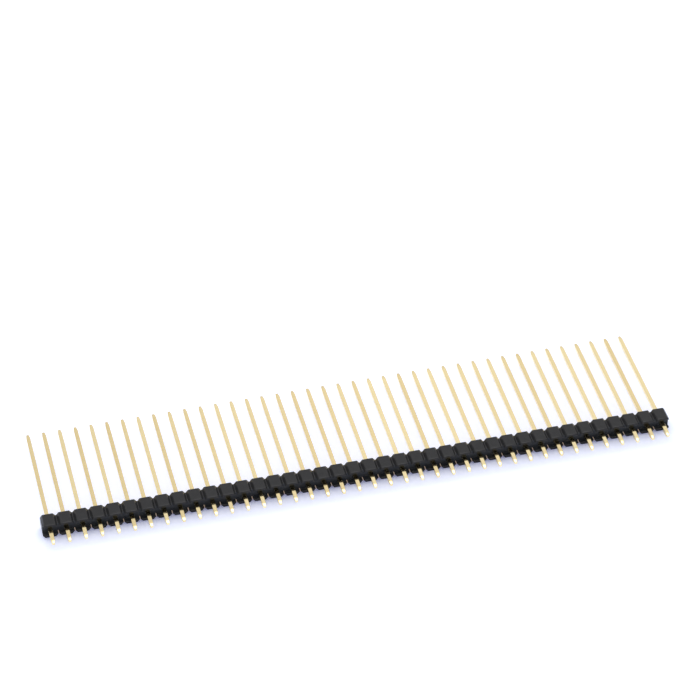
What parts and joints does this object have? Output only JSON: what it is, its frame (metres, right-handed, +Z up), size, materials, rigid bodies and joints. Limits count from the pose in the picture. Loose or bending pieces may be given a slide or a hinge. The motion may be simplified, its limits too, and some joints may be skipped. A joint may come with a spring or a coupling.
{
  "type": "pin header strip",
  "caption": "Straight single-row pin header: long square gold-plated pins pressed through a black snap-apart housing, with short solder tails on the other side.",
  "frame": {"origin": "under the middle of the part's box, on the surface that it lies on; halfway between the two rows of pin tips", "axes": "+X along the row of pins, +Y along the pins towards the long mating ends, +Z up out of the housing's upper long side"},
  "size_m": [0.1014, 0.0244, 0.0026],
  "materials": {
    "housing": "black moulded plastic, satin",
    "pin": "thin bright gold plating on drawn square wire"
  },
  "bodies": {
    "root": {"housing": "housing", "pin_01": "pin", "pin_02": "pin", "pin_03": "pin", "pin_04": "pin", "pin_05": "pin", "pin_06": "pin", "pin_07": "pin", "pin_08": "pin", "pin_09": "pin", "pin_10": "pin", "pin_11": "pin", "pin_12": "pin", "pin_13": "pin", "pin_14": "pin", "pin_15": "pin", "pin_16": "pin", "pin_17": "pin", "pin_18": "pin", "pin_19": "pin", "pin_20": "pin", "pin_21": "pin", "pin_22": "pin", "pin_23": "pin", "pin_24": "pin", "pin_25": "pin", "pin_26": "pin", "pin_27": "pin", "pin_28": "pin", "pin_29": "pin", "pin_30": "pin", "pin_31": "pin", "pin_32": "pin", "pin_33": "pin", "pin_34": "pin", "pin_35": "pin", "pin_36": "pin", "pin_37": "pin", "pin_38": "pin", "pin_39": "pin", "pin_40": "pin"}
  },
  "joints": []
}
